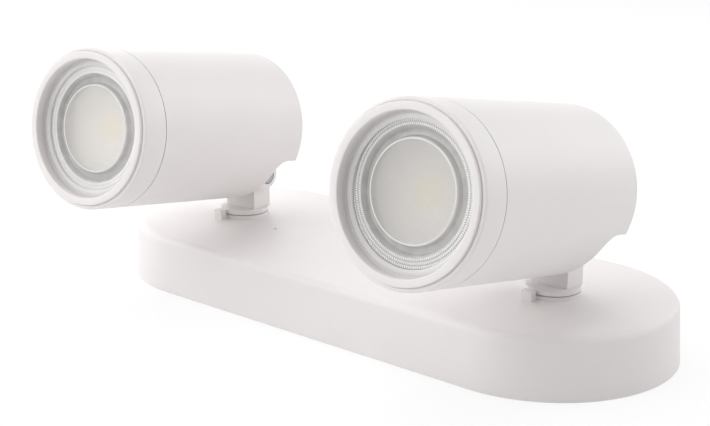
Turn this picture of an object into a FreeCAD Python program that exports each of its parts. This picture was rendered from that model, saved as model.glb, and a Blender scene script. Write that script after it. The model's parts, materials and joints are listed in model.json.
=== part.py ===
import FreeCAD, Part
import math
import os
import Sketcher
from FreeCAD import Placement, Rotation, Vector

# Spot bar for a wall: a round-ended cover with two pivoting heads.
# +Z points out of the wall, X runs along the cover, and the beams point towards -Y.
# The origin is the centre of the cover's back, on the wall.
# Millimetres and degrees.

DIMENSIONS = [
    ("base_length", 260.0, "cover, end to end"),
    ("base_width", 100.0, "cover, side to side"),
    ("base_height", 23.7, "cover, wall to top face"),
    ("base_draft", 3.4, "lean of the cover's side, degrees"),
    ("base_round", 3.0, "rounding of the cover's top edge"),
    ("base_wall", 2.2, "thickness of the cast cover"),
    ("plate_gap", 1.6, "space between back plate and cover, all round"),
    ("plate_thick", 1.5, "steel back plate"),
    ("slot_spacing", 130.0, "between the two wall screw slots"),
    ("slot_length", 14.0, "wall screw slot, end to end"),
    ("slot_radius", 2.3, "half the slot's width"),
    ("entry_offset", 20.0, "mains cable entry, off the centre line"),
    ("entry_radius", 8.0, "cable entry hole in the back plate"),
    ("cable_radius", 3.5, "bore of the cable grommet"),
    ("screw_along", 54.6, "cover screws, along the cover"),
    ("screw_across", 8.7, "cover screws, off the centre line"),
    ("screw_shank", 1.05, "cover screw, thread radius"),
    ("screw_head", 2.2, "cover screw, head radius"),
    ("post_flats", 5.5, "hexagonal posts, across flats"),
    ("block_length", 36.0, "terminal block, along the cover"),
    ("block_width", 16.0, "terminal block, across"),
    ("block_height", 13.0, "terminal block, above the back plate"),
    ("block_offset", 14.0, "terminal block, off the centre line"),
    ("pole_pitch", 10.0, "between the poles of the terminal block"),
    ("lead_radius", 2.2, "sheathed lead to each pivot"),
    ("lead_height", 7.0, "leads, above the wall"),
    ("lead_run", 30.0, "leads, off the centre line"),
    ("pivot_offset", 82.0, "pivots, from the middle of the cover"),
    ("collar_radius", 10.5, "round foot of the pivot"),
    ("seat_height", 1.6, "fixed lower disc"),
    ("shim_height", 0.4, "nylon washer between the discs"),
    ("collar_height", 1.8, "turning upper disc"),
    ("lug_width", 4.2, "stop lug beside the collar"),
    ("lug_reach", 14.6, "stop lug, out from the pivot"),
    ("lug_height", 4.0, "stop lug, above the cover"),
    ("stud_radius", 5.0, "hollow stud under the collar"),
    ("stud_length", 10.6, "stud, below the cover's top face"),
    ("stud_flat", 4.2, "flat on the stud, from its axis"),
    ("wire_radius", 2.4, "wire way through the stud"),
    ("wire_shift", 0.8, "wire way, behind the pivot axis"),
    ("peg_radius", 1.0, "peg that limits the turn"),
    ("peg_orbit", 8.66, "peg, out from the pivot"),
    ("peg_angle", -104.0, "peg, round the pivot, degrees"),
    ("washer_radius", 7.2, "washers under the cover"),
    ("washer_thick", 1.2, "each washer under the cover"),
    ("nut_flats", 15.0, "lock nut, across flats"),
    ("nut_height", 4.0, "lock nut"),
    ("stem_width", 15.8, "rectangular stem, across"),
    ("stem_depth", 10.8, "rectangular stem, front to back"),
    ("tilt_back", 2.6, "tilt axis, behind the pivot axis"),
    ("tilt_height", 18.8, "tilt axis, above the cover"),
    ("tilt_shank", 2.0, "tilt screw radius"),
    ("tilt_head", 3.6, "tilt screw head radius"),
    ("ear_radius", 5.6, "round end of the head's ears"),
    ("ear_inner", 8.4, "ears, inner face from the middle"),
    ("ear_outer", 11.8, "ears, outer face from the middle"),
    ("running", 0.05, "radial clearance of a turning pin"),
    ("head_radius", 31.5, "head and front ring"),
    ("head_rise", 20.85, "head axis, above the tilt axis"),
    ("head_rear", 3.5, "rear end, ahead of the tilt axis"),
    ("head_length", 97.8, "head with its front ring"),
    ("head_wall", 2.2, "wall of the head"),
    ("head_end", 2.5, "end wall of the head"),
    ("head_edge", 0.8, "rounding of the head's rear edge"),
    ("notch_length", 11.8, "notch, ahead of the rear end"),
    ("notch_drop", 11.7, "notch ceiling, below the head axis"),
    ("notch_round", 6.0, "rounded corner of the notch"),
    ("seam", 0.3, "gap behind the front ring"),
    ("ring_length", 12.4, "front ring, front to back"),
    ("rim_inner", 27.8, "mouth of the front ring"),
    ("rim_outer", 29.8, "raised rim of the front ring"),
    ("rim_step", 1.1, "raised rim, ahead of the shoulder"),
    ("throat_radius", 25.9, "inner end of the ring's cone"),
    ("throat_depth", 4.2, "inner end of the cone, behind the front"),
    ("spigot_radius", 29.2, "threaded spigot on the head"),
    ("spigot_bore", 27.4, "bore of the spigot"),
    ("spigot_length", 6.0, "threaded spigot"),
    ("retainer_inner", 24.3, "retaining ring, inner radius"),
    ("retainer_outer", 27.0, "retaining ring, outer radius"),
    ("retainer_thick", 1.2, "retaining ring"),
    ("lamp_radius", 25.0, "reflector lamp, front radius"),
    ("lamp_length", 47.0, "lamp, rim to base"),
    ("pin_spacing", 10.0, "lamp pins, centre to centre"),
    ("pin_length", 7.0, "lamp pins"),
    ("pin_head", 2.4, "lamp pin head radius"),
    ("pin_neck", 1.3, "lamp pin neck radius"),
    ("disc_radius", 17.6, "frosted disc of the lens"),
    ("disc_recess", 0.1, "disc face, behind the lamp's rim"),
    ("trough_depth", 1.9, "trough round the disc, behind its face"),
    ("trough_width", 3.7, "trough round the disc, across"),
    ("holder_radius", 14.0, "ceramic lampholder"),
    ("holder_length", 18.0, "ceramic lampholder"),
    ("unlock_angle", 30.0, "turn that frees the lamp, degrees"),
    ("bracket_thick", 1.2, "lampholder bracket"),
    ("bracket_width", 14.0, "lampholder bracket"),
    ("bush_radius", 3.0, "lead bush in the notch wall"),
    ("bush_drop", 22.5, "lead bush, below the head axis"),
    ("wire_thick", 0.9, "radius of one lampholder lead"),
    ("left_pan", 4.9, "left head, turned from square, degrees"),
    ("right_pan", 1.3, "right head, turned from square, degrees"),
    ("left_tilt", 9.4, "left head, raised from parallel, degrees"),
    ("right_tilt", 10.6, "right head, raised from parallel, degrees"),
]

SHEET_NAME = "Dims"
SMALL = 1e-6


class Size:
    """A number that keeps the sheet expression it comes from."""

    def __init__(self, value, text):
        self.value = value
        self.text = text

    @staticmethod
    def of(other):
        if isinstance(other, Size):
            return other
        return Size(float(other), f"({other})")

    def joined(self, other, value, sign):
        return Size(value, f"({self.text} {sign} {other.text})")

    def __add__(self, other):
        other = Size.of(other)
        return self.joined(other, self.value + other.value, "+")

    def __sub__(self, other):
        other = Size.of(other)
        return self.joined(other, self.value - other.value, "-")

    def __mul__(self, other):
        other = Size.of(other)
        return self.joined(other, self.value * other.value, "*")

    def __truediv__(self, other):
        other = Size.of(other)
        return self.joined(other, self.value / other.value, "/")

    def __radd__(self, other):
        return Size.of(other) + self

    def __rsub__(self, other):
        return Size.of(other) - self

    def __rmul__(self, other):
        return Size.of(other) * self

    def __neg__(self):
        return Size.of(0) - self


class Dimensions:
    """The spreadsheet of driving dimensions, read by alias."""

    def __init__(self, doc):
        sheet = doc.addObject("Spreadsheet::Sheet", SHEET_NAME)
        for row, (alias, value, meaning) in enumerate(DIMENSIONS, start=1):
            sheet.set(f"A{row}", meaning)
            sheet.set(f"B{row}", str(value))
            sheet.setAlias(f"B{row}", alias)
        doc.recompute()
        self.sheet = sheet

    def __getattr__(self, alias):
        return Size(float(self.sheet.get(alias)), f"{SHEET_NAME}.{alias}")


doc = FreeCAD.newDocument("spot_bar")
D = Dimensions(doc)
subparts = []


# ---------------------------------------------------------------- frames

def base_frame():
    """The origin of the whole light: the middle of the cover's back."""
    return Placement()


def pivot_frame(side):
    """On the cover's top face at a pivot, square to the cover."""
    return Placement(Vector(SIGN[side] * D.pivot_offset.value, 0, D.base_height.value), Rotation())


def swivel_frame(side):
    """The same point, turned with the stem."""
    turn = Rotation(Vector(0, 0, 1), PAN[side].value)
    return pivot_frame(side) * Placement(Vector(), turn)


def optic_frame(side):
    """On the head's axis above the tilt screw: x sideways, y up, z along the beam."""
    hinge = Placement(Vector(0, D.tilt_back.value, D.tilt_height.value),
                      Rotation(Vector(1, 0, 0), 90 - TILT[side].value))
    return swivel_frame(side) * hinge * Placement(Vector(0, D.head_rise.value, 0), Rotation())


def lamp_frame(side):
    """In the middle of the lamp's front rim, z along the beam."""
    return optic_frame(side) * Placement(Vector(0, 0, lamp_rim().value), Rotation())


# ---------------------------------------------------------------- building blocks

def bind(thing, path, size):
    """Tie a property or constraint to the sheet."""
    thing.setExpression(path, Size.of(size).text)


def new_body(name, frame, pieces=1):
    body = doc.addObject("PartDesign::Body", name)
    body.Label = name
    body.AllowCompound = pieces > 1
    body.Placement = frame
    subparts.append((body, pieces))
    return body


def origin_feature(body, role):
    return [item for item in body.Origin.OriginFeatures if item.Role == role][0]


def new_sketch(body, role, shift=(0, 0, 0)):
    """A sketch on one of the body's own planes, shifted in the plane's own axes."""
    sketch = body.newObject("Sketcher::SketchObject", "Sketch")
    sketch.AttachmentSupport = [(origin_feature(body, role), "")]
    sketch.MapMode = "FlatFace"
    sizes = [Size.of(step) for step in shift]
    sketch.AttachmentOffset = Placement(Vector(*[size.value for size in sizes]), Rotation())
    for axis, size in zip("xyz", sizes):
        bind(sketch, f".AttachmentOffset.Base.{axis}", size)
    return sketch


def hold_point(sketch, geometry, which, x=None, y=None):
    """Fix one point of the sketch at sizes from its origin."""
    for kind, size in (("DistanceX", x), ("DistanceY", y)):
        if size is None:
            continue
        value = Size.of(size).value
        index = sketch.addConstraint(Sketcher.Constraint(kind, -1, 1, geometry, which, value))
        bind(sketch, f"Constraints[{index}]", size)


def hold_radius(sketch, geometry, radius):
    index = sketch.addConstraint(Sketcher.Constraint("Radius", geometry, radius.value))
    bind(sketch, f"Constraints[{index}]", radius)


def draw_polygon(sketch, points):
    """Straight lines through the points, closed."""
    corners = [(Size.of(x), Size.of(y)) for x, y in points]
    first = sketch.GeometryCount
    for (x1, y1), (x2, y2) in zip(corners, corners[1:] + corners[:1]):
        line = Part.LineSegment(Vector(x1.value, y1.value, 0), Vector(x2.value, y2.value, 0))
        sketch.addGeometry(line, False)
    for step in range(len(corners)):
        after = first + (step + 1) % len(corners)
        sketch.addConstraint(Sketcher.Constraint("Coincident", first + step, 2, after, 1))
    for step, (x, y) in enumerate(corners):
        hold_point(sketch, first + step, 1, x, y)


def draw_circle(sketch, radius, x=0, y=0):
    radius, x, y = Size.of(radius), Size.of(x), Size.of(y)
    circle = Part.Circle(Vector(x.value, y.value, 0), Vector(0, 0, 1), radius.value)
    index = sketch.addGeometry(circle, False)
    hold_point(sketch, index, 3, x, y)
    hold_radius(sketch, index, radius)


def draw_hexagon(sketch, flats, x=0, y=0):
    """A hexagon of the given width across flats, with a flat to the right."""
    reach = flats / 2
    half_side = reach * round(math.tan(math.radians(30)), 6)
    draw_polygon(sketch, [(x + reach, y - half_side), (x + reach, y + half_side),
                          (x, y + 2 * half_side), (x - reach, y + half_side),
                          (x - reach, y - half_side), (x, y - 2 * half_side)])


def draw_stadium(sketch, length, width, x=0):
    """Two straight sides and two half-round ends, its length along the sketch's x."""
    length, width, x = Size.of(length), Size.of(width), Size.of(x)
    radius = width / 2
    reach = length / 2 - radius
    centres = [x + reach, x - reach]
    first = sketch.GeometryCount
    for centre, start in zip(centres, (-90, 90)):
        circle = Part.Circle(Vector(centre.value, 0, 0), Vector(0, 0, 1), radius.value)
        arc = Part.ArcOfCircle(circle, math.radians(start), math.radians(start + 180))
        sketch.addGeometry(arc, False)
    for sign in (1, -1):
        right = Vector(centres[0].value, sign * radius.value, 0)
        left = Vector(centres[1].value, sign * radius.value, 0)
        sketch.addGeometry(Part.LineSegment(right, left), False)
    for arc, sign in ((0, -1), (1, 1)):
        hold_point(sketch, first + arc, 3, centres[arc], 0)
        hold_point(sketch, first + arc, 1, centres[arc], sign * radius)
        hold_point(sketch, first + arc, 2, centres[arc])
    for arc, which, line, end in ((0, 2, 2, 1), (1, 1, 2, 2), (0, 1, 3, 1), (1, 2, 3, 2)):
        sketch.addConstraint(
            Sketcher.Constraint("Coincident", first + arc, which, first + line, end))


def draw_cap(sketch, radius, level):
    """The part of a disc above a level line."""
    half = math.sqrt(radius.value ** 2 - level.value ** 2)
    start = math.atan2(level.value, half)
    circle = Part.Circle(Vector(), Vector(0, 0, 1), radius.value)
    sketch.addGeometry(Part.ArcOfCircle(circle, start, math.pi - start), False)
    chord = Part.LineSegment(Vector(-half, level.value, 0), Vector(half, level.value, 0))
    sketch.addGeometry(chord, False)
    sketch.addConstraint(Sketcher.Constraint("Coincident", 0, 2, 1, 1))
    sketch.addConstraint(Sketcher.Constraint("Coincident", 1, 2, 0, 1))
    sketch.addConstraint(Sketcher.Constraint("Horizontal", 1))
    hold_point(sketch, 0, 3, 0, 0)
    hold_point(sketch, 1, 1, y=level)
    hold_radius(sketch, 0, radius)


def volume_of(body):
    if body.Shape.isNull():
        return 0.0
    return body.Shape.Volume


def settle(body, feature, before, cuts):
    """Recompute, and stop if the feature failed or left the solid as it was."""
    body.Tip = feature
    doc.recompute()
    change = volume_of(body) - before
    if cuts and change > -SMALL:
        raise RuntimeError(f"{body.Label}: {feature.Name} removes nothing")
    if not cuts and change < SMALL:
        raise RuntimeError(f"{body.Label}: {feature.Name} adds nothing")
    return feature


def extrude(body, sketch, length, cuts=False, forwards=True, symmetric=False, taper=None):
    """Pad or pocket along the sketch's normal, forwards or backwards."""
    before = volume_of(body)
    feature = body.newObject("PartDesign::Pocket" if cuts else "PartDesign::Pad", "Extrusion")
    feature.Profile = sketch
    bind(feature, "Length", length)
    feature.Reversed = forwards == cuts
    if symmetric:
        feature.SideType = "Symmetric"
    if taper is not None:
        bind(feature, "TaperAngle", taper)
    return settle(body, feature, before, cuts)


def turn(body, points, at=(0, 0), cuts=False, angle=360):
    """Revolve (radius, height) points about an upright axis at (x, y)."""
    before = volume_of(body)
    sketch = new_sketch(body, "XZ_Plane", (at[0], 0, -Size.of(at[1])))
    draw_polygon(sketch, points)
    feature = body.newObject("PartDesign::Groove" if cuts else "PartDesign::Revolution", "Turning")
    feature.Profile = sketch
    feature.ReferenceAxis = (sketch, ["V_Axis"])
    bind(feature, "Angle", angle)
    feature.Reversed = angle != 360 and not cuts
    return settle(body, feature, before, cuts)


def turn_across(body, points, height=0, cuts=False):
    """Revolve (x, radius) points about a sideways axis at the given height."""
    before = volume_of(body)
    sketch = new_sketch(body, "XY_Plane", (0, height, 0))
    draw_polygon(sketch, points)
    feature = body.newObject("PartDesign::Groove" if cuts else "PartDesign::Revolution", "Turning")
    feature.Profile = sketch
    feature.ReferenceAxis = (sketch, ["H_Axis"])
    feature.Angle = 360
    return settle(body, feature, before, cuts)


def drill(body, radius, level, depth, spots=((0, 0),), forwards=False):
    """Round holes from a level, downwards unless forwards."""
    sketch = new_sketch(body, "XY_Plane", (0, 0, level))
    for x, y in spots:
        draw_circle(sketch, radius, x, y)
    return extrude(body, sketch, depth, cuts=True, forwards=forwards)


def repeat_round(body, features, count=2, cuts=False):
    """Copy the features evenly round the body's upright axis."""
    before = volume_of(body)
    pattern = body.newObject("PartDesign::PolarPattern", "Round")
    pattern.Originals = features
    pattern.Axis = (origin_feature(body, "Z_Axis"), [""])
    pattern.Angle = 360
    pattern.Occurrences = count
    return settle(body, pattern, before, cuts)


def repeat_across(body, features, cuts=False):
    """Mirror the features in the body's middle plane."""
    before = volume_of(body)
    mirror = body.newObject("PartDesign::Mirrored", "Mirror")
    mirror.Originals = features
    mirror.MirrorPlane = (origin_feature(body, "YZ_Plane"), [""])
    return settle(body, mirror, before, cuts)


def round_edges(body, radius, wanted, cuts=True):
    """Fillet the edges whose middle point passes the test."""
    before = volume_of(body)
    base = body.Tip
    names = []
    for number, edge in enumerate(base.Shape.Edges, start=1):
        middle = edge.valueAt((edge.FirstParameter + edge.LastParameter) / 2)
        if wanted(edge, middle):
            names.append(f"Edge{number}")
    fillet = body.newObject("PartDesign::Fillet", "Rounding")
    fillet.Base = (base, names)
    bind(fillet, "Radius", radius)
    return settle(body, fillet, before, cuts)


def pipe_solid(points, bends, radius):
    """A round lead along straight runs joined by tangent arcs."""
    edges = []
    start = points[0]
    for corner, after, bend in zip(points[1:-1], points[2:], bends):
        come = (corner - start).normalize()
        leave = (after - corner).normalize()
        half_turn = come.getAngle(leave) / 2
        step = bend * math.tan(half_turn)
        enter, leave_at = corner - come * step, corner + leave * step
        inward = (leave - come).normalize()
        middle = corner + inward * (bend / math.cos(half_turn) - bend)
        edges.append(Part.LineSegment(start, enter).toShape())
        edges.append(Part.Arc(enter, middle, leave_at).toShape())
        start = leave_at
    edges.append(Part.LineSegment(start, points[-1]).toShape())
    path = Part.Wire(edges)
    direction = (points[1] - points[0]).normalize()
    section = Part.Wire([Part.Circle(points[0], direction, radius).toShape()])
    solid = path.makePipeShell([section], True, False)
    expected = math.pi * radius ** 2 * path.Length
    if abs(solid.Volume - expected) > 0.01 * expected:
        raise RuntimeError("a lead's volume is not its section times its length")
    return solid


def new_feature(name, frame, solids):
    """A sub-part whose shape is worked out directly."""
    item = doc.addObject("Part::Feature", name)
    item.Label = name
    item.Shape = solids[0] if len(solids) == 1 else Part.makeCompound(solids)
    item.Placement = frame
    subparts.append((item, len(solids)))


# ---------------------------------------------------------------- shared places

SIGN = {"left": -1, "right": 1}
PAN = {"left": D.left_pan, "right": D.right_pan}
TILT = {"left": D.left_tilt, "right": D.right_tilt}


def head_front():
    """Front plane of the head, along the beam from the tilt axis."""
    return D.head_rear + D.head_length


def head_seam():
    """Shoulder of the head behind the front ring."""
    return head_front() - D.ring_length - D.seam


def retainer_back():
    return head_front() - D.throat_depth - D.retainer_thick


def lamp_rim():
    return retainer_back()


def holder_front():
    """The lampholder's face lies a little behind the lamp's base."""
    return lamp_rim() - D.lamp_length - 0.4


def holder_back():
    return holder_front() - D.holder_length


def cover_inside():
    return D.base_height - D.base_wall


def collar_base():
    return D.seat_height + D.shim_height


def collar_top():
    return collar_base() + D.collar_height


def screw_spots():
    """The two cover screws lie point-symmetric about the middle."""
    return [(-D.screw_along, -D.screw_across), (D.screw_along, D.screw_across)]


def peg_spot():
    """Place of the peg that limits the turn, from the pivot."""
    angle = math.radians(D.peg_angle.value)
    return (D.peg_orbit * round(math.cos(angle), 6), D.peg_orbit * round(math.sin(angle), 6))


# ---------------------------------------------------------------- the base

def build_base_cover():
    """Cast cover: a drafted, round-ended shell with a soft top edge."""
    body = new_body("base_cover", base_frame())
    outline = new_sketch(body, "XY_Plane")
    draw_stadium(outline, D.base_length, D.base_width)
    extrude(body, outline, D.base_height, taper=-D.base_draft)
    top = D.base_height.value
    round_edges(body, D.base_round, lambda edge, middle: abs(middle.z - top) < SMALL)
    inside = new_sketch(body, "XY_Plane")
    draw_stadium(inside, D.base_length - 2 * D.base_wall, D.base_width - 2 * D.base_wall)
    extrude(body, inside, cover_inside(), cuts=True, forwards=True, taper=-D.base_draft)
    pivots = [(sign * D.pivot_offset, 0) for sign in (-1, 1)]
    drill(body, D.stud_radius + D.running, D.base_height, D.base_wall, pivots)
    peg_x, peg_y = peg_spot()
    pegs = [(x + peg_x, peg_y) for x, _ in pivots]
    drill(body, D.peg_radius, D.base_height, D.base_wall, pegs)
    sink = screw_sink(D.base_height)
    hole = turn(body, [(0, D.base_height), (D.screw_head, D.base_height), (D.screw_head, sink[0]),
                       (D.screw_shank, sink[1]), (D.screw_shank, cover_inside()),
                       (0, cover_inside())], at=screw_spots()[0], cuts=True)
    repeat_round(body, [hole], cuts=True)


def screw_sink(face):
    """Levels of a sunk head: the end of its rim and the end of its cone."""
    return face - 0.3, face - 0.3 - (D.screw_head - D.screw_shank)


def build_mounting_plate():
    """Flat steel back plate with wall screw slots and the cable entry."""
    body = new_body("mounting_plate", base_frame())
    shrink = 2 * (D.base_wall + D.plate_gap)
    outline = new_sketch(body, "XY_Plane")
    draw_stadium(outline, D.base_length - shrink, D.base_width - shrink)
    extrude(body, outline, D.plate_thick)
    slots = new_sketch(body, "XY_Plane")
    for sign in (-1, 1):
        draw_stadium(slots, D.slot_length, 2 * D.slot_radius, sign * D.slot_spacing / 2)
    extrude(body, slots, D.plate_thick, cuts=True, forwards=True)
    drill(body, D.entry_radius, 0, D.plate_thick, [(0, D.entry_offset)], forwards=True)
    drill(body, D.post_flats / 3, 0, D.plate_thick, screw_spots(), forwards=True)
    drill(body, EARTH_SHANK, 0, D.plate_thick, [EARTH_SPOT], forwards=True)


def build_plate_posts():
    """Two hexagonal posts, riveted to the back plate, that take the cover screws."""
    body = new_body("plate_posts", base_frame(), pieces=2)
    x, y = screw_spots()[0]
    outline = new_sketch(body, "XY_Plane", (0, 0, D.plate_thick))
    draw_hexagon(outline, D.post_flats, x, y)
    post = extrude(body, outline, cover_inside() - D.plate_thick)
    foot = new_sketch(body, "XY_Plane", (0, 0, D.plate_thick))
    draw_circle(foot, D.post_flats / 3, x, y)
    rivet = extrude(body, foot, D.plate_thick, forwards=False)
    bore = drill(body, D.screw_shank, cover_inside(), POST_THREAD, [(x, y)])
    repeat_round(body, [post, rivet, bore])


def build_cover_screws():
    """Two small sunk screws with a hexagonal socket."""
    body = new_body("cover_screws", base_frame(), pieces=2)
    sink = screw_sink(D.base_height)
    tip = cover_inside() - POST_THREAD + 1
    screw = turn(body, [(0, D.base_height), (D.screw_head, D.base_height),
                        (D.screw_head, sink[0]), (D.screw_shank, sink[1]),
                        (D.screw_shank, tip), (0, tip - 0.6)], at=screw_spots()[0])
    socket = new_sketch(body, "XY_Plane", (0, 0, D.base_height))
    draw_hexagon(socket, D.screw_head * 0.75, *screw_spots()[0])
    recess = extrude(body, socket, 1.0, cuts=True, forwards=False)
    repeat_round(body, [screw, recess])


def build_cable_grommet():
    """Rubber grommet in the cable entry, with a soft collar towards the inside."""
    body = new_body("cable_grommet", base_frame())
    flange = D.entry_radius + 2
    collar = D.entry_radius - 2
    turn(body, [(D.cable_radius, 0.2), (D.entry_radius, 0.2), (D.entry_radius, D.plate_thick),
                (flange, D.plate_thick), (flange, D.plate_thick + 1.2),
                (collar, D.plate_thick + 2), (collar - 1, D.plate_thick + 5),
                (D.cable_radius, D.plate_thick + 5)], at=(0, D.entry_offset))


def pole_spots(rows):
    return [(pole * D.pole_pitch, row) for pole in (-1, 0, 1) for row in rows]


def build_terminal_block():
    """Three-pole block with a screw well at each end of each pole."""
    body = new_body("terminal_block", base_frame())
    low, high = D.plate_thick, D.plate_thick + D.block_height
    left, front = -D.block_length / 2, -D.block_offset - D.block_width / 2
    outline = new_sketch(body, "XY_Plane", (0, 0, low))
    draw_polygon(outline, [(left, front), (-left, front), (-left, front + D.block_width),
                           (left, front + D.block_width)])
    extrude(body, outline, D.block_height)
    drill(body, WELL_RADIUS, high, WELL_DEPTH, pole_spots(terminal_rows()))
    entries = new_sketch(body, "XZ_Plane", (0, 0, -front))
    for pole in (-1, 0, 1):
        draw_circle(entries, D.lead_radius + 0.1, pole * D.pole_pitch, D.lead_height)
    extrude(body, entries, ENTRY_DEPTH, cuts=True, forwards=False)
    step = new_sketch(body, "YZ_Plane", (0, 0, 0))
    draw_polygon(step, [(front, high), (front + 3, high), (front, high - 3)])
    extrude(body, step, D.block_length, cuts=True, symmetric=True)


def terminal_rows():
    return [-D.block_offset - 3, -D.block_offset + 4]


def build_terminal_screws():
    """Six slotted brass screws, one in each well."""
    body = new_body("terminal_screws", base_frame(), pieces=6)
    top = D.plate_thick + D.block_height - 0.8
    sketch = new_sketch(body, "XY_Plane", (0, 0, top))
    for x, y in pole_spots(terminal_rows()):
        draw_circle(sketch, WELL_RADIUS - 0.2, x, y)
    extrude(body, sketch, WELL_DEPTH - 0.8, forwards=False)
    slots = new_sketch(body, "XY_Plane", (0, 0, top))
    reach = (WELL_RADIUS - 0.2) * 2
    for x, y in pole_spots(terminal_rows()):
        draw_polygon(slots, [(x - reach, y - 0.3), (x + reach, y - 0.3),
                             (x + reach, y + 0.3), (x - reach, y + 0.3)])
    extrude(body, slots, 0.8, cuts=True, forwards=False)


def build_earth_screw():
    """Earth screw with its washer, in the back plate."""
    body = new_body("earth_screw", base_frame())
    base = D.plate_thick
    turn(body, [(0, 0.1), (EARTH_SHANK, 0.1), (EARTH_SHANK, base), (4.5, base),
                (4.5, base + 0.8), (3.6, base + 0.8), (3.6, base + 2.4),
                (2.6, base + 3.0), (0, base + 3.0)], at=EARTH_SPOT)
    slot = new_sketch(body, "XY_Plane", (0, 0, base + 3.0))
    x, y = EARTH_SPOT
    draw_polygon(slot, [(x - 3.8, y - 0.5), (x + 3.8, y - 0.5), (x + 3.8, y + 0.5),
                        (x - 3.8, y + 0.5)])
    extrude(body, slot, 1.2, cuts=True, forwards=False)


def build_base_lead(side):
    """Sheathed lead from the terminal block to the mouth of the hollow stud."""
    sign = SIGN[side]
    level = D.lead_height.value
    start_x = sign * D.pole_pitch.value
    start_y = -(D.block_offset + D.block_width / 2).value + ENTRY_DEPTH - 1
    run_y = -D.lead_run.value
    end_x = sign * D.pivot_offset.value
    end_y = D.wire_shift.value
    end_z = (D.base_height - D.stud_length).value - 0.5
    points = [Vector(start_x, start_y, level), Vector(start_x, run_y, level),
              Vector(end_x, run_y, level), Vector(end_x, end_y, level),
              Vector(end_x, end_y, end_z)]
    new_feature(f"{side}_base_lead", base_frame(),
                [pipe_solid(points, [8.0, 10.0, 4.5], D.lead_radius.value)])


# ---------------------------------------------------------------- the pivots

def build_pivot_seat(side):
    """Fixed lower disc of the pivot, with its stop lug and its peg through the cover."""
    body = new_body(f"{side}_pivot_seat", pivot_frame(side))
    disc = new_sketch(body, "XY_Plane")
    draw_circle(disc, D.collar_radius)
    extrude(body, disc, D.seat_height)
    drill(body, D.stud_radius + D.running, D.seat_height, D.seat_height)
    corner = math.hypot(D.stem_width.value / 2, D.tilt_back.value + D.stem_depth.value / 2)
    clear = Size.of(-round(corner + 0.35, 2))
    foot = new_sketch(body, "XY_Plane")
    draw_polygon(foot, [(-D.lug_width, -D.lug_reach), (0, -D.lug_reach),
                        (0, -D.washer_radius), (-D.lug_width, -D.washer_radius)])
    extrude(body, foot, D.seat_height)
    lug = new_sketch(body, "XY_Plane", (0, 0, D.seat_height))
    draw_polygon(lug, [(-D.lug_width, -D.lug_reach), (0, -D.lug_reach), (0, clear),
                       (-D.lug_width, clear)])
    extrude(body, lug, D.lug_height - D.seat_height)
    peg = new_sketch(body, "XY_Plane")
    draw_circle(peg, D.peg_radius, *peg_spot())
    extrude(body, peg, D.base_wall + 2 * D.washer_thick - 0.3, forwards=False)


def build_pivot_shim(side):
    """Thin nylon washer between the two discs."""
    body = new_body(f"{side}_pivot_shim", swivel_frame(side))
    inner = D.stud_radius
    outer = D.collar_radius - 0.7
    turn(body, [(inner, D.seat_height), (outer, D.seat_height), (outer, collar_base()),
                (inner, collar_base())])


def build_stem(side):
    """Upper disc, rectangular stem with a round knuckle, and the hollow stud."""
    body = new_body(f"{side}_stem", swivel_frame(side))
    turn(body, [(0, -D.stud_length), (D.stud_radius, -D.stud_length),
                (D.stud_radius, collar_base()), (D.collar_radius, collar_base()),
                (D.collar_radius, collar_top()), (0, collar_top())])
    front, back = D.tilt_back - D.stem_depth / 2, D.tilt_back + D.stem_depth / 2
    profile = new_sketch(body, "YZ_Plane")
    draw_polygon(profile, [(front, collar_top() - 1), (back, collar_top() - 1),
                           (back, D.tilt_height), (front, D.tilt_height)])
    extrude(body, profile, D.stem_width, symmetric=True)
    knuckle = new_sketch(body, "YZ_Plane")
    draw_circle(knuckle, D.stem_depth / 2, D.tilt_back, D.tilt_height)
    extrude(body, knuckle, D.stem_width, symmetric=True)
    pin = new_sketch(body, "YZ_Plane")
    draw_circle(pin, D.tilt_shank + D.running, D.tilt_back, D.tilt_height)
    extrude(body, pin, D.stem_width, cuts=True, symmetric=True)
    exit_height = D.tilt_height - D.tilt_shank - D.wire_radius - 2
    drill(body, D.wire_radius, -D.stud_length, D.stud_length + exit_height,
          [(0, D.wire_shift)], forwards=True)
    way_out = new_sketch(body, "XZ_Plane", (0, 0, -D.wire_shift))
    draw_circle(way_out, D.wire_radius - 0.3, 0, exit_height - 0.5)
    extrude(body, way_out, D.stem_depth, cuts=True, forwards=True)
    flat = new_sketch(body, "XY_Plane", (0, 0, -D.base_wall - D.washer_thick))
    wide = D.stud_radius + 1
    draw_polygon(flat, [(D.stud_flat, -wide), (wide, -wide), (wide, wide), (D.stud_flat, wide)])
    extrude(body, flat, D.stud_length, cuts=True, forwards=False)


def build_spring_washer(side):
    """Coned spring washer that keeps the pivot stiff, under the cover."""
    body = new_body(f"{side}_spring_washer", swivel_frame(side))
    inner, outer = D.stud_radius, D.washer_radius
    high = -D.base_wall
    low = high - D.washer_thick
    turn(body, [(inner, low), (inner, low + 0.6), (outer, high), (outer, high - 0.6)])


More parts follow.
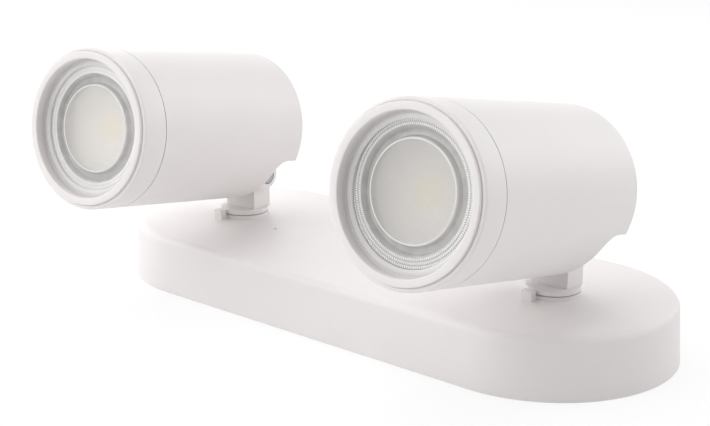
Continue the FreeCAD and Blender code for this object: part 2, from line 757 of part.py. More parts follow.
def build_stop_washer(side):
    """Washer keyed to the stud's flat, whose tab meets the peg at each end of the turn."""
    body = new_body(f"{side}_stop_washer", swivel_frame(side))
    high = -D.base_wall - D.washer_thick
    disc = new_sketch(body, "XY_Plane", (0, 0, high))
    draw_circle(disc, D.washer_radius)
    extrude(body, disc, D.washer_thick, forwards=False)
    peg_x, peg_y = (value.value / D.peg_orbit.value for value in peg_spot())
    reach = D.peg_orbit + D.peg_radius + 0.6
    along = (-peg_x, -peg_y)
    across = (-along[1], along[0])
    corners = []
    for out, sideways in ((D.stud_radius + 1, -1), (reach, -1), (reach, 1),
                          (D.stud_radius + 1, 1)):
        corners.append((out * round(along[0], 6) + round(sideways * across[0], 6),
                        out * round(along[1], 6) + round(sideways * across[1], 6)))
    tab = new_sketch(body, "XY_Plane", (0, 0, high))
    draw_polygon(tab, corners)
    extrude(body, tab, D.washer_thick, forwards=False)
    drill(body, D.stud_radius, high, D.washer_thick)
    key = new_sketch(body, "XY_Plane", (0, 0, high))
    half = math.sqrt(D.stud_radius.value ** 2 - D.stud_flat.value ** 2)
    edge = D.stud_radius + 0.4
    draw_polygon(key, [(D.stud_flat, -half), (edge, -half), (edge, half), (D.stud_flat, half)])
    extrude(body, key, D.washer_thick, forwards=False)


def build_lock_nut(side):
    """Thin hexagonal nut that holds the stem to the cover."""
    body = new_body(f"{side}_lock_nut", swivel_frame(side))
    high = -D.base_wall - 2 * D.washer_thick
    outline = new_sketch(body, "XY_Plane", (0, 0, high))
    draw_hexagon(outline, D.nut_flats)
    extrude(body, outline, D.nut_height, forwards=False)
    drill(body, D.stud_radius, high, D.nut_height)


# ---------------------------------------------------------------- the heads

def build_barrel(side):
    """Round head: open front with a spigot, closed rear, a notch and two ears below."""
    body = new_body(f"{side}_barrel", optic_frame(side))
    rear, shoulder = D.head_rear, head_seam()
    tip = shoulder + D.spigot_length
    inner = D.head_radius - D.head_wall
    wall_front = rear + D.notch_length + D.head_wall
    turn(body, [(0, rear), (D.head_radius, rear), (D.head_radius, shoulder),
                (D.spigot_radius, shoulder), (D.spigot_radius, tip), (D.spigot_bore, tip),
                (D.spigot_bore, shoulder - 5), (inner, shoulder - 7), (inner, wall_front),
                (0, wall_front)])
    rear_at, radius_at = rear.value, D.head_radius.value
    round_edges(body, D.head_edge,
                lambda edge, middle: abs(middle.z - rear_at) < SMALL
                and abs(math.hypot(middle.x, middle.y) - radius_at) < SMALL)
    chamber = new_sketch(body, "XY_Plane", (0, 0, wall_front))
    draw_cap(chamber, inner, D.head_wall - D.notch_drop)
    extrude(body, chamber, D.notch_length + D.head_wall - D.head_end, cuts=True, forwards=False)
    notch = new_sketch(body, "YZ_Plane")
    low = -D.head_radius - 1
    draw_polygon(notch, [(low, rear - 1), (-D.notch_drop, rear - 1),
                         (-D.notch_drop, rear + D.notch_length), (low, rear + D.notch_length)])
    extrude(body, notch, 2 * D.head_radius + 2, cuts=True, symmetric=True)
    corner_y, corner_z = -D.notch_drop.value, (rear + D.notch_length).value
    round_edges(body, D.notch_round,
                lambda edge, middle: abs(middle.y - corner_y) < SMALL
                and abs(middle.z - corner_z) < SMALL, cuts=False)
    build_ears(body, rear)
    drill(body, D.bush_radius, wall_front, D.head_wall, [(0, -D.bush_drop)])
    feet = [(sign * FOOT_REACH, 0) for sign in (-1, 1)]
    drill(body, FOOT_THREAD, rear + D.head_end, D.head_end - 0.5, feet)


def build_ears(body, rear):
    """Two ears beside the stem, drilled for the tilt screw and sunk for its head and nut."""
    hinge = -D.head_rise
    wall = rear + D.notch_length
    ceiling = -D.notch_drop
    thick = D.ear_outer - D.ear_inner
    low, high = hinge - D.ear_radius, hinge + D.ear_radius
    for start in (D.ear_inner, -D.ear_outer):
        web = new_sketch(body, "YZ_Plane", (0, 0, start))
        draw_polygon(web, [(low, 0), (high, 0), (ceiling, rear + 0.4),
                           (ceiling + 1, rear + 0.4), (ceiling + 1, wall + 1), (low, wall + 1)])
        extrude(body, web, thick)
        end = new_sketch(body, "YZ_Plane", (0, 0, start))
        draw_circle(end, D.ear_radius, hinge, 0)
        extrude(body, end, thick)
    bore = new_sketch(body, "YZ_Plane")
    draw_circle(bore, D.tilt_shank, hinge, 0)
    extrude(body, bore, 2 * D.ear_outer + 2, cuts=True, symmetric=True)
    sink = new_sketch(body, "YZ_Plane", (0, 0, D.ear_outer))
    draw_circle(sink, D.tilt_head + 0.4, hinge, 0)
    extrude(body, sink, TILT_SINK, cuts=True, forwards=False)
    pocket = new_sketch(body, "YZ_Plane", (0, 0, -D.ear_outer))
    draw_hexagon(pocket, TILT_NUT_FLATS, hinge, 0)
    extrude(body, pocket, TILT_NUT_HEIGHT, cuts=True, forwards=True)


def build_tilt_screw(side):
    """Cap screw through both ears and the stem."""
    body = new_body(f"{side}_tilt_screw", optic_frame(side))
    seat = D.ear_outer - TILT_SINK
    end = -D.ear_outer + 0.3
    turn_across(body, [(end, 0), (end, D.tilt_shank), (seat, D.tilt_shank), (seat, D.tilt_head),
                       (D.ear_outer, D.tilt_head), (D.ear_outer, 0)], height=-D.head_rise)
    socket = new_sketch(body, "YZ_Plane", (0, 0, D.ear_outer))
    draw_hexagon(socket, 3.0, -D.head_rise, 0)
    extrude(body, socket, 1.2, cuts=True, forwards=False)


def build_tilt_nut(side):
    """Nut in the hexagonal pocket of the other ear."""
    body = new_body(f"{side}_tilt_nut", optic_frame(side))
    outline = new_sketch(body, "YZ_Plane", (0, 0, -D.ear_outer + 0.2))
    draw_hexagon(outline, TILT_NUT_FLATS, -D.head_rise, 0)
    extrude(body, outline, TILT_NUT_HEIGHT - 0.2)
    bore = new_sketch(body, "YZ_Plane", (0, 0, -D.ear_outer))
    draw_circle(bore, D.tilt_shank, -D.head_rise, 0)
    extrude(body, bore, TILT_NUT_HEIGHT + 1, cuts=True, forwards=True)


def build_tilt_washers(side):
    """Two friction washers between the stem and the ears."""
    body = new_body(f"{side}_tilt_washers", optic_frame(side), pieces=2)
    inner, outer = D.stem_width / 2, D.ear_inner
    washer = turn_across(body, [(inner, D.tilt_shank), (outer, D.tilt_shank), (outer, 4.6),
                                (inner, 4.6)], height=-D.head_rise)
    repeat_across(body, [washer])


def build_lead_bush(side):
    """Rubber bush that guides the leads through the notch wall."""
    body = new_body(f"{side}_lead_bush", optic_frame(side))
    front = D.head_rear + D.notch_length + D.head_wall
    back = front - D.head_wall
    bore, flange = D.wire_thick * 2 + 0.4, D.bush_radius + 1.2
    turn(body, [(bore, back - 1), (flange, back - 1), (flange, back), (D.bush_radius, back),
                (D.bush_radius, front), (flange, front), (flange, front + 1),
                (bore, front + 1)], at=(0, -D.bush_drop))


def build_holder_bracket(side):
    """Bent steel strap that carries the lampholder off the head's end wall."""
    body = new_body(f"{side}_holder_bracket", optic_frame(side))
    floor, top = D.head_rear + D.head_end, holder_back()
    thick, half = D.bracket_thick, D.holder_radius + 2
    toe = Size.of(FOOT_REACH + 4)
    profile = new_sketch(body, "XZ_Plane")
    draw_polygon(profile, [(-toe, floor), (-half + thick, floor), (-half + thick, top - thick),
                           (half - thick, top - thick), (half - thick, floor), (toe, floor),
                           (toe, floor + thick), (half, floor + thick), (half, top),
                           (-half, top), (-half, floor + thick), (-toe, floor + thick)])
    extrude(body, profile, D.bracket_width, symmetric=True)
    drill(body, LEAD_HOLE, top, thick)
    holes = [(sign * HOLDER_BOLT, 0) for sign in (-1, 1)]
    drill(body, FOOT_THREAD, top, thick, holes)
    feet = [(sign * FOOT_REACH, 0) for sign in (-1, 1)]
    drill(body, FOOT_THREAD, floor + thick, thick, feet)


def build_holder_screws(side):
    """Two screws in the bracket's feet and two up into the lampholder."""
    body = new_body(f"{side}_holder_screws", optic_frame(side), pieces=4)
    floor = D.head_rear + D.head_end
    face = floor + D.bracket_thick
    foot = turn(body, [(0, floor - 1.8), (FOOT_THREAD, floor - 1.8), (FOOT_THREAD, face),
                       (SCREW_CAP, face), (SCREW_CAP, face + 1.2), (SCREW_CAP - 0.8, face + 1.8),
                       (0, face + 1.8)], at=(FOOT_REACH, 0))
    under = holder_back() - D.bracket_thick
    tip = holder_back() + HOLDER_THREAD
    upper = turn(body, [(0, under - 1.8), (SCREW_CAP - 0.8, under - 1.8),
                        (SCREW_CAP, under - 1.2), (SCREW_CAP, under), (FOOT_THREAD, under),
                        (FOOT_THREAD, tip), (0, tip)], at=(HOLDER_BOLT, 0))
    repeat_round(body, [foot, upper])


def build_lampholder(side):
    """Ceramic twist-lock lampholder with two curved slots for the lamp's pins."""
    body = new_body(f"{side}_lampholder", optic_frame(side))
    back, front = holder_back(), holder_front()
    turn(body, [(0, back), (D.holder_radius - 1, back), (D.holder_radius, back + 1),
                (D.holder_radius, front - 4), (D.holder_radius - 2, front), (0, front)])
    orbit = D.pin_spacing / 2
    slot_depth = D.pin_length + 1
    reach = D.pin_head + 0.3
    floor = front - slot_depth
    sweep = turn(body, [(orbit - reach, floor), (orbit + reach, floor), (orbit + reach, front),
                        (orbit - reach, front)], cuts=True, angle=D.unlock_angle)
    repeat_round(body, [sweep], cuts=True)
    ends = []
    for angle in (0, D.unlock_angle.value, 180, 180 + D.unlock_angle.value):
        turned = math.radians(angle)
        ends.append((orbit * round(math.cos(turned), 6), orbit * round(math.sin(turned), 6)))
    for spot in ends:
        drill(body, reach, front, slot_depth, [spot])
    drill(body, FOOT_THREAD, back, HOLDER_THREAD, [(-HOLDER_BOLT, 0), (HOLDER_BOLT, 0)],
          forwards=True)


def build_holder_contacts(side):
    """Two sprung brass contacts at the bottom of the slots."""
    body = new_body(f"{side}_holder_contacts", optic_frame(side), pieces=2)
    floor = holder_front() - D.pin_length - 1
    orbit = D.pin_spacing / 2
    sketch = new_sketch(body, "XY_Plane", (0, 0, floor))
    for sign in (-1, 1):
        draw_circle(sketch, D.pin_head, sign * orbit, 0)
    extrude(body, sketch, 0.3)


def build_holder_leads(side):
    """Two heat-proof leads from the lampholder, back through the bush in the notch wall."""
    start = holder_back().value - D.bracket_thick.value + 0.6
    turn_at = start - 5
    drop = -D.bush_drop.value
    end = (D.head_rear + D.notch_length).value - 3
    solids = []
    for sign in (-1, 1):
        x = sign * (D.wire_thick.value + 0.1)
        points = [Vector(x, 0, start), Vector(x, 0, turn_at), Vector(x, drop, turn_at - 2),
                  Vector(x, drop, end)]
        solids.append(pipe_solid(points, [4.0, 3.5], D.wire_thick.value))
    new_feature(f"{side}_holder_leads", optic_frame(side), solids)


# ---------------------------------------------------------------- the lamps

def build_lamp_housing(side):
    """Hollow lamp body, round at the rim and tapered down to the base."""
    body = new_body(f"{side}_lamp_housing", lamp_frame(side))
    rim, length = D.lamp_radius, D.lamp_length
    ledge = rim - 0.7
    turn(body, [(0, -length), (11.5, -length), (11.5, 8 - length), (15.5, 11 - length),
                (rim - 1.5, -8.4), (rim, -6.4), (rim, 0), (ledge, 0), (ledge, -1.5),
                (rim - 2.2, -1.5), (rim - 3.0, -8.8), (14.2, 13 - length), (0, 13 - length)])
    socket = D.pin_spacing / 2
    drill(body, D.pin_neck, -length, 4, [(-socket, 0), (socket, 0)], forwards=True)


def build_lamp_pins(side):
    """Two headed twist-lock pins in the lamp's base."""
    body = new_body(f"{side}_lamp_pins", lamp_frame(side), pieces=2)
    base, tip = -D.lamp_length, -D.lamp_length - D.pin_length
    neck, head = D.pin_neck, D.pin_head
    pin = turn(body, [(0, tip), (head - 0.4, tip), (head, tip + 0.5), (head, tip + 2),
                      (neck, tip + 2.6), (neck, base + 4), (0, base + 4)],
               at=(D.pin_spacing / 2, 0))
    repeat_round(body, [pin])


def build_lamp_lens(side):
    """Moulded lens: a dotted flange, a clear trough and a frosted disc with a bead."""
    body = new_body(f"{side}_lamp_lens", lamp_frame(side))
    edge = D.lamp_radius - 0.75
    inner = D.disc_radius + D.trough_width
    bead = D.disc_radius - 0.6
    face = -D.disc_recess
    trough = face - D.trough_depth
    under = trough - 1.4
    turn(body, [(0, under), (inner - 0.6, under), (inner + 1.0, -1.5), (edge, -1.5),
                (edge, -0.2), (inner, -0.2), (inner - 1.2, trough),
                (D.disc_radius + 0.9, trough), (D.disc_radius + 0.2, face),
                (D.disc_radius, face + 0.2), (bead, face + 0.2), (bead - 0.2, face), (0, face)])


def build_led_board(side):
    """Round board behind the lens, with its light source in the middle."""
    body = new_body(f"{side}_led_board", lamp_frame(side))
    top = Size.of(-9.2)
    edge = D.lamp_radius - 3.5
    turn(body, [(0, top - 1.2), (edge, top - 1.2), (edge, top), (6.0, top), (6.0, top + 0.6),
                (5.2, top + 0.9), (0, top + 0.9)])


# ---------------------------------------------------------------- the front rings

def build_front_ring(side):
    """Screwed front ring: raised rim, soft shoulder, cone to the lens and threaded skirt."""
    body = new_body(f"{side}_front_ring", optic_frame(side))
    front = head_front()
    back = front - D.ring_length
    shoulder = front - D.rim_step
    skirt = D.spigot_radius + D.seam
    land = D.retainer_outer + D.seam
    skirt_top = front - D.ring_length + D.spigot_length + 0.2
    turn(body, [(D.rim_inner, front), (D.rim_outer, front), (D.rim_outer, shoulder),
                (D.head_radius, shoulder), (D.head_radius, back), (skirt, back),
                (skirt, skirt_top), (land, skirt_top), (land, front - D.throat_depth),
                (D.throat_radius, front - D.throat_depth)])
    shoulder_at, radius_at = shoulder.value, D.head_radius.value
    round_edges(body, D.head_edge,
                lambda edge, middle: abs(middle.z - shoulder_at) < SMALL
                and abs(math.hypot(middle.x, middle.y) - radius_at) < SMALL)


def build_lamp_retainer(side):
    """Pale ring under the front ring's cone that bears on the lamp's rim."""
    body = new_body(f"{side}_lamp_retainer", optic_frame(side))
    back = retainer_back()
    face = back + D.retainer_thick
    turn(body, [(D.retainer_inner, back), (D.retainer_outer, back), (D.retainer_outer, face),
                (D.retainer_inner + 0.5, face), (D.retainer_inner, face - 0.5)])


# ---------------------------------------------------------------- small fixed sizes

EARTH_SPOT = (32.0, 18.0)
EARTH_SHANK = 2.0
POST_THREAD = 9.0
WELL_RADIUS = 2.2
WELL_DEPTH = 3.4
ENTRY_DEPTH = 5.0
TILT_SINK = 1.8
TILT_NUT_FLATS = 7.0
TILT_NUT_HEIGHT = 2.4
FOOT_REACH = 20.0
FOOT_THREAD = 1.4
SCREW_CAP = 2.6
HOLDER_BOLT = 10.0
HOLDER_THREAD = 5.0
LEAD_HOLE = 4.0

BASE_BUILDERS = [build_base_cover, build_mounting_plate, build_plate_posts, build_cover_screws,
                 build_cable_grommet, build_terminal_block, build_terminal_screws,
                 build_earth_screw]
SIDE_BUILDERS = [build_base_lead, build_pivot_seat, build_pivot_shim, build_stem,
                 build_spring_washer, build_stop_washer, build_lock_nut, build_barrel,
                 build_tilt_screw, build_tilt_nut, build_tilt_washers, build_lead_bush,
                 build_holder_bracket, build_holder_screws, build_lampholder,
                 build_holder_contacts, build_holder_leads, build_lamp_housing, build_lamp_pins,
                 build_lamp_lens, build_led_board, build_front_ring, build_lamp_retainer]


def check_document():
    """Stop if any object failed or any sub-part is not the whole solids it should be."""
    doc.recompute()
    for item in doc.Objects:
        if "Invalid" in item.State or "Error" in item.State:
            raise RuntimeError(f"{item.Label} did not compute")
    for item, pieces in subparts:
        if item.Shape.isNull() or not item.Shape.isValid():
            raise RuntimeError(f"{item.Label} has no valid shape")
        if len(item.Shape.Solids) != pieces:
            raise RuntimeError(f"{item.Label} has {len(item.Shape.Solids)} solids")


def main():
    os.makedirs("parts", exist_ok=True)
    for build in BASE_BUILDERS:
        build()
    for side in SIGN:
        for build in SIDE_BUILDERS:
            build(side)
    check_document()
    for item, _ in subparts:
        item.Shape.exportStep(f"parts/{item.Label}.step")
        print(item.Label, round(item.Shape.Volume / 1000, 3), "cm3")


main()
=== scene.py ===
import json
import math

import bmesh
import bpy
import numpy as np
from bpy.props import FloatProperty, FloatVectorProperty, IntProperty, PointerProperty
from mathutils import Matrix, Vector


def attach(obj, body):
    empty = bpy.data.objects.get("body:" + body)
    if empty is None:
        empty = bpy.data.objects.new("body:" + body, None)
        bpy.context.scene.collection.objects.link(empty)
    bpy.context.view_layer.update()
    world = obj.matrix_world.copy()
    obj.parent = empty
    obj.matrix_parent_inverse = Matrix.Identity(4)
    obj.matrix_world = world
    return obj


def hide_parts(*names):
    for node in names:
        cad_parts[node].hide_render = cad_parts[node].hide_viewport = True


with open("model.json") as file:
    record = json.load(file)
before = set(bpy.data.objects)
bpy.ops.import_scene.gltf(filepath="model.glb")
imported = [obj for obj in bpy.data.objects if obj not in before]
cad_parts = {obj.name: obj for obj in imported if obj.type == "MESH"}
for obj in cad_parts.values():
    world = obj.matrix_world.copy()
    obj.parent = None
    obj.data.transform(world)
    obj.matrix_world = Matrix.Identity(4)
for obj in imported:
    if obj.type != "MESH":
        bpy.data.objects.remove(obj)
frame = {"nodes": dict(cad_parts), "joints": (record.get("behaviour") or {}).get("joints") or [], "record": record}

bl_info = {
    "name": "Wall Spotlight Bar Looks",
    "version": (1, 0, 0),
    "blender": (4, 5, 0),
    "location": "View3D > Sidebar > Spotlight",
    "description": "Front rings, lenses, finishes and studio for a pivoting wall spotlight bar",
    "category": "Object",
}

MM = 0.001
WELD = MM * 1e-4    # points closer than this become one, in metres
SIDES = ("left", "right")
WHITE = (1, 1, 1, 1)
LOCAL = "local"     # attribute: place on the head in millimetres, as in Place
MASK = "mask"       # attribute, 0 to 1: height on a moulded dot, whose valleys get painted shade, or the inside of a front ring, which is painted darker as shade

SEAM, CREASE = 0.15, 0.08   # rounding of turned edges and of fine grooves, in millimetres
BORE_SHADE_DEPTH = 0.6            # a ring's bore is painted darker below this depth, as painted shade, in millimetres
DOT_STEPS, ROW_STEPS = 6, 7     # grid steps to a dot, round the lens and across its row
DOT_SINK = 0.6              # share of a dot's height that lies under the flange's level
WAFFLE_TURN = 38            # slant of the waffle, in degrees
SENSOR_WIDTH, NEAREST = 36.0, 0.02      # camera: millimetres of sensor, metres to what it sees
CAMERA_PLACE = (0.3631, -0.43635, 0.20347)      # metres, from the fit of the outlines
CAMERA_DOWN, CAMERA_TURN = 16.136, 41.034       # degrees, from the same fit
FLOOR_HALF, FLOOR_GAP = 3.0, 0.0002     # half the floor's side and its gap to the object, metres
FLOOR_WHITE, FLOOR_GLOW = 0.72, 1.06    # share and strength of white where the floor is seen
AIM = (0.0, -0.03, 0.04)                # the studio lamps face this point, in metres
LAMPS = (                               # name, turn and rise in degrees, power in watts
    ("front_left_lamp", 245, 25, 5.4), ("left_lamp", 200, 25, 4.3), ("top_lamp", 250, 86, 3.6),
    ("right_back_lamp", 65, 25, 2.9), ("right_lamp", 20, 25, 2.6), ("left_back_lamp", 155, 25, 2.3),
    ("high_left_back_lamp", 135, 52, 2.0), ("high_right_back_lamp", 45, 52, 1.2),
    ("high_front_left_lamp", 225, 52, 1.0),
)


# ---------------------------------------------------------------- where things are

def joint(name):
    """The record's joint of that name."""
    return next(item for item in frame["joints"] if item["name"] == name)


class Place:
    """A head's own axes, in millimetres: x sideways, y up, z along the beam.

    The origin is the point of the beam's line that the record gives for the lamp's twist.
    """

    def __init__(self, side):
        twist = joint(f"{side}_lamp_twist")
        beam = np.array(twist["axis"], float)
        sideways = -np.array(joint(f"{side}_tilt")["axis"], float)
        self.axes = np.stack([sideways, np.cross(beam, sideways), beam])
        self.origin = np.array(twist["pos_m"], float)

    def world(self, points):
        """origin + x * sideways + y * up + z * beam, in metres."""
        return self.origin + MM * (points @ self.axes)

    def local(self, points):
        """The same turned round: metres in the shared frame to millimetres on the head."""
        return (points - self.origin) @ self.axes.T / MM


PLACE = {side: Place(side) for side in SIDES}


def node_points(node):
    """All corners of a CAD node, as an array in metres."""
    mesh = frame["nodes"][node].data
    flat = np.empty(len(mesh.vertices) * 3, np.float32)
    mesh.vertices.foreach_get("co", flat)
    return flat.reshape(-1, 3).astype(float)


def span(side, node):
    """Smallest and largest radius and beam place of a node on the head's axis."""
    points = PLACE[side].local(node_points(f"{side}_{node}"))
    radius = np.hypot(points[:, 0], points[:, 1])
    return radius.min(), radius.max(), points[:, 2].min(), points[:, 2].max()


# ---------------------------------------------------------------- surfaces

def soft_profile(corners, steps=6):
    """A line through (radius, place, rounding) corners.

    Each corner with a rounding r is left out and an arc of radius r takes its place. The arc meets
    both straight runs at r / tan(half the angle between them) from the corner.
    """
    corners = np.array(corners, float)
    pieces = []
    for index, (corner, rounding) in enumerate(zip(corners[:, :2], corners[:, 2])):
        if rounding == 0:
            pieces.append(corner[None])
            continue
        before = corners[index - 1, :2] - corner
        after = corners[(index + 1) % len(corners), :2] - corner
        before, after = before / np.linalg.norm(before), after / np.linalg.norm(after)
        half = math.acos(np.clip(before @ after, -1, 1)) / 2
        middle = before + after
        centre = corner + middle / np.linalg.norm(middle) * rounding / math.sin(half)
        reach = rounding / math.tan(half)
        start, stop = corner + before * reach - centre, corner + after * reach - centre
        sweep = math.acos(np.clip(start @ stop / rounding ** 2, -1, 1))
        part = np.linspace(0, 1, steps + 1)[:, None]
        pieces.append(centre + (np.sin((1 - part) * sweep) * start
                                + np.sin(part * sweep) * stop) / math.sin(sweep))
    return np.concatenate(pieces)


def spun(profile, count):
    """Grid of a profile carried round the beam: (r cos a, r sin a, z) for count angles a."""
    angle = np.arange(count) * 2 * np.pi / count
    radius, place = profile[:, 0], profile[:, 1]
    return np.stack([radius[:, None] * np.cos(angle), radius[:, None] * np.sin(angle),
                     np.broadcast_to(place[:, None], (len(profile), count))], axis=-1)


def grid_faces(rows, columns, closed):
    """Corner numbers of the quads of a grid whose columns join up, and whose rows do if closed."""
    row = np.arange(rows if closed else rows - 1)[:, None]
    column = np.arange(columns)[None]
    next_row, next_column = (row + 1) % rows, (column + 1) % columns
    quads = [row * columns + column, row * columns + next_column,
             next_row * columns + next_column, next_row * columns + column]
    return np.stack([np.broadcast_to(corner, (row.size, columns)) for corner in quads],
                    axis=-1).reshape(-1, 4)


def make_piece(name, side, points, closed, finish, body, mask=None, sharp=40.0):
    """A new mesh object from a grid of head coordinates, welded at its poles and shaded smooth."""
    rows, columns = points.shape[:2]
    local = points.reshape(-1, 3)
    mesh = bpy.data.meshes.new(name)
    mesh.from_pydata(PLACE[side].world(local), [], grid_faces(rows, columns, closed))
    place = mesh.attributes.new(LOCAL, "FLOAT_VECTOR", "POINT")
    place.data.foreach_set("vector", local.astype(np.float32).ravel())
    height = mesh.attributes.new(MASK, "FLOAT", "POINT")
    height.data.foreach_set("value", (np.zeros(len(local)) if mask is None
                                      else mask.ravel()).astype(np.float32))
    weld = bmesh.new()
    weld.from_mesh(mesh)
    bmesh.ops.remove_doubles(weld, verts=weld.verts, dist=WELD)
    bmesh.ops.recalc_face_normals(weld, faces=weld.faces)
    weld.to_mesh(mesh)
    weld.free()
    mesh.shade_smooth()
    mesh.set_sharp_from_angle(angle=math.radians(sharp))
    mesh.materials.append(finish)
    piece = bpy.data.objects.new(name, mesh)
    bpy.context.scene.collection.objects.link(piece)
    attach(piece, body)
    return piece


# ---------------------------------------------------------------- finishes

class Wire:
    """A value in a finish's node tree, which can be used in sums."""

    def __init__(self, finish, socket):
        self.finish = finish
        self.socket = socket

    def math(self, operation, *terms):
        return self.finish.node("ShaderNodeMath", {"operation": operation},
                                dict(enumerate(terms)))

    def __add__(self, other):
        return self.math("ADD", self, other)

    def __radd__(self, other):
        return self.math("ADD", other, self)

    def __sub__(self, other):
        return self.math("SUBTRACT", self, other)

    def __rsub__(self, other):
        return self.math("SUBTRACT", other, self)

    def __mul__(self, other):
        return self.math("MULTIPLY", self, other)

    def __rmul__(self, other):
        return self.math("MULTIPLY", other, self)

    def __truediv__(self, other):
        return self.math("DIVIDE", self, other)

    def __pow__(self, other):
        return self.math("POWER", self, other)

    def sine(self):
        return self.math("SINE", self)

    def size(self):
        return self.math("ABSOLUTE", self)

    def step(self, low, high):
        """0 below low, 1 above high, and smooth between."""
        return self.finish.node("ShaderNodeMapRange", {"interpolation_type": "SMOOTHSTEP"},
                                {"Value": self, "From Min": low, "From Max": high})


class Nodes:
    """The node tree of a material or of the surroundings, emptied."""

    def __init__(self, owner):
        owner.use_nodes = True
        self.tree = owner.node_tree
        self.tree.nodes.clear()

    def feed(self, socket, value):
        """Link a wire to a socket, or set the socket's own value."""
        if isinstance(value, Wire):
            self.tree.links.new(value.socket, socket)
        else:
            socket.default_value = value

    def node(self, kind, settings=None, values=None, output=0):
        """Any node: its settings first, then the values or links of its sockets."""
        node = self.tree.nodes.new(kind)
        for key, value in (settings or {}).items():
            setattr(node, key, value)
        for key, value in (values or {}).items():
            self.feed(node.inputs[key], value)
        return Wire(self, node.outputs[output])

    def seen_directly(self):
        """1 for camera, mirror and see-through rays, 0 for the light that falls on the object."""
        camera, gloss, through = (
            self.node("ShaderNodeLightPath", output=f"Is {ray} Ray")
            for ray in ("Camera", "Glossy", "Transmission"))
        total = camera + gloss + through
        return total.math("MINIMUM", total, 1.0)


class Finish(Nodes):
    """A procedural material: one Principled shader and the nodes that feed it."""

    def __init__(self, name, **fixed):
        self.material = bpy.data.materials.new(name)
        super().__init__(self.material)
        self.shader = self.tree.nodes.new("ShaderNodeBsdfPrincipled")
        self.output = self.tree.nodes.new("ShaderNodeOutputMaterial")
        self.tree.links.new(self.shader.outputs[0], self.output.inputs["Surface"])
        self.set(**fixed)

    def set(self, **values):
        """Feed the shader's sockets: base_color is "Base Color", and so on."""
        for key, value in values.items():
            self.feed(self.shader.inputs[SOCKETS[key]], value)

    def place(self):
        """Object coordinates, in metres."""
        return self.node("ShaderNodeTexCoord", output="Object")

    def attribute(self, name, output):
        """A mesh attribute that make_piece stored."""
        return self.node("ShaderNodeAttribute", {"attribute_name": name}, output=output)

    def noise(self, scale, detail, stretch=None):
        """Soft noise of about scale lumps to the metre."""
        where = self.place()
        if stretch:
            where = self.node("ShaderNodeMapping", values={"Vector": where, "Scale": stretch})
        return self.node("ShaderNodeTexNoise",
                         values={"Vector": where, "Scale": scale, "Detail": detail})

    def blend(self, factor, first, second):
        """Colour between two colours."""
        return self.node("ShaderNodeMix", {"data_type": "RGBA"},
                         {0: factor, 6: first, 7: second}, output=2)

    def bump(self, height, depth, strength):
        """Normal of a height field whose full range is depth metres."""
        return self.node("ShaderNodeBump",
                         values={"Height": height, "Distance": depth, "Strength": strength})


SOCKETS = {
    "base_color": "Base Color", "roughness": "Roughness", "metallic": "Metallic",
    "alpha": "Alpha", "normal": "Normal", "ior": "IOR", "specular": "Specular IOR Level",
    "emission": "Emission Color", "emission_strength": "Emission Strength",
}


def rgba(colour):
    """The colour with full cover."""
    return (*colour[:3], 1.0)


def shade(colour, factor):
    """The colour made lighter or darker."""
    return tuple(min(1.0, part * factor) for part in colour[:3]) + (1.0,)


def painted_finish(name, colour, mask_painted_shade=1.0):
    """Powder coat: fine orange peel, faint mottle, satin sheen, and painted shade, a darker colour, on the mask.
    """
    finish = Finish(name, specular=0.45)
    mottle = finish.noise(38.0, 3.0).step(0.3, 0.7)
    peel = finish.noise(1500.0, 2.0)
    grain = finish.noise(5200.0, 1.0)
    coat = finish.blend(mottle, shade(colour, 0.985), rgba(colour))
    # painted shade: the colour is darkened where the mask is set, in a front ring's bore
    if mask_painted_shade < 1.0:
        coat = finish.blend(finish.attribute(MASK, "Fac"), coat, shade(colour, mask_painted_shade))
    finish.set(base_color=coat, roughness=0.40 + 0.10 * peel,
               normal=finish.bump(0.75 * peel + 0.25 * grain, 0.00002, 0.5))
    return finish.material


def plated_finish(name, colour, rough):
    """Zinc or nickel plate: fine rolled lines and cloudy patches."""
    finish = Finish(name, metallic=1.0)
    cloud = finish.noise(160.0, 4.0).step(0.25, 0.75)
    lines = finish.noise(900.0, 2.0, stretch=(0.15, 1.0, 1.0))
    finish.set(base_color=finish.blend(cloud, shade(colour, 0.82), rgba(colour)),
               roughness=rough + 0.16 * lines,
               normal=finish.bump(lines, 0.000015, 0.6))
    return finish.material


def moulded_finish(name, colour, rough, lumps=900.0):
    """Moulded plastic or rubber: spark-eroded grain and a little colour drift."""
    finish = Finish(name, specular=0.4)
    drift = finish.noise(60.0, 2.0).step(0.2, 0.8)
    grain = finish.noise(lumps, 3.0)
    finish.set(base_color=finish.blend(drift, shade(colour, 0.92), rgba(colour)),
               roughness=rough + 0.14 * grain,
               normal=finish.bump(grain, 0.00003, 0.5))
    return finish.material


def ceramic_finish(name, colour):
    """Unglazed pressed ceramic: dry, speckled and slightly pitted."""
    finish = Finish(name, specular=0.25)
    speck = finish.noise(2600.0, 1.0).step(0.66, 0.74)
    pits = finish.noise(1300.0, 4.0)
    finish.set(base_color=finish.blend(speck, rgba(colour), shade(colour, 0.7)),
               roughness=0.78 + 0.12 * pits,
               normal=finish.bump(pits, 0.00005, 0.6))
    return finish.material


def sheath_finish(name, colour):
    """Extruded sheath: smooth, with faint streaks along and a soft sheen."""
    finish = Finish(name, specular=0.5)
    streak = finish.noise(700.0, 2.0, stretch=(0.2, 1.0, 1.0))
    finish.set(base_color=finish.blend(streak.step(0.3, 0.8), rgba(colour), shade(colour, 0.9)),
               roughness=0.34 + 0.16 * streak,
               normal=finish.bump(streak, 0.00002, 0.5))
    return finish.material


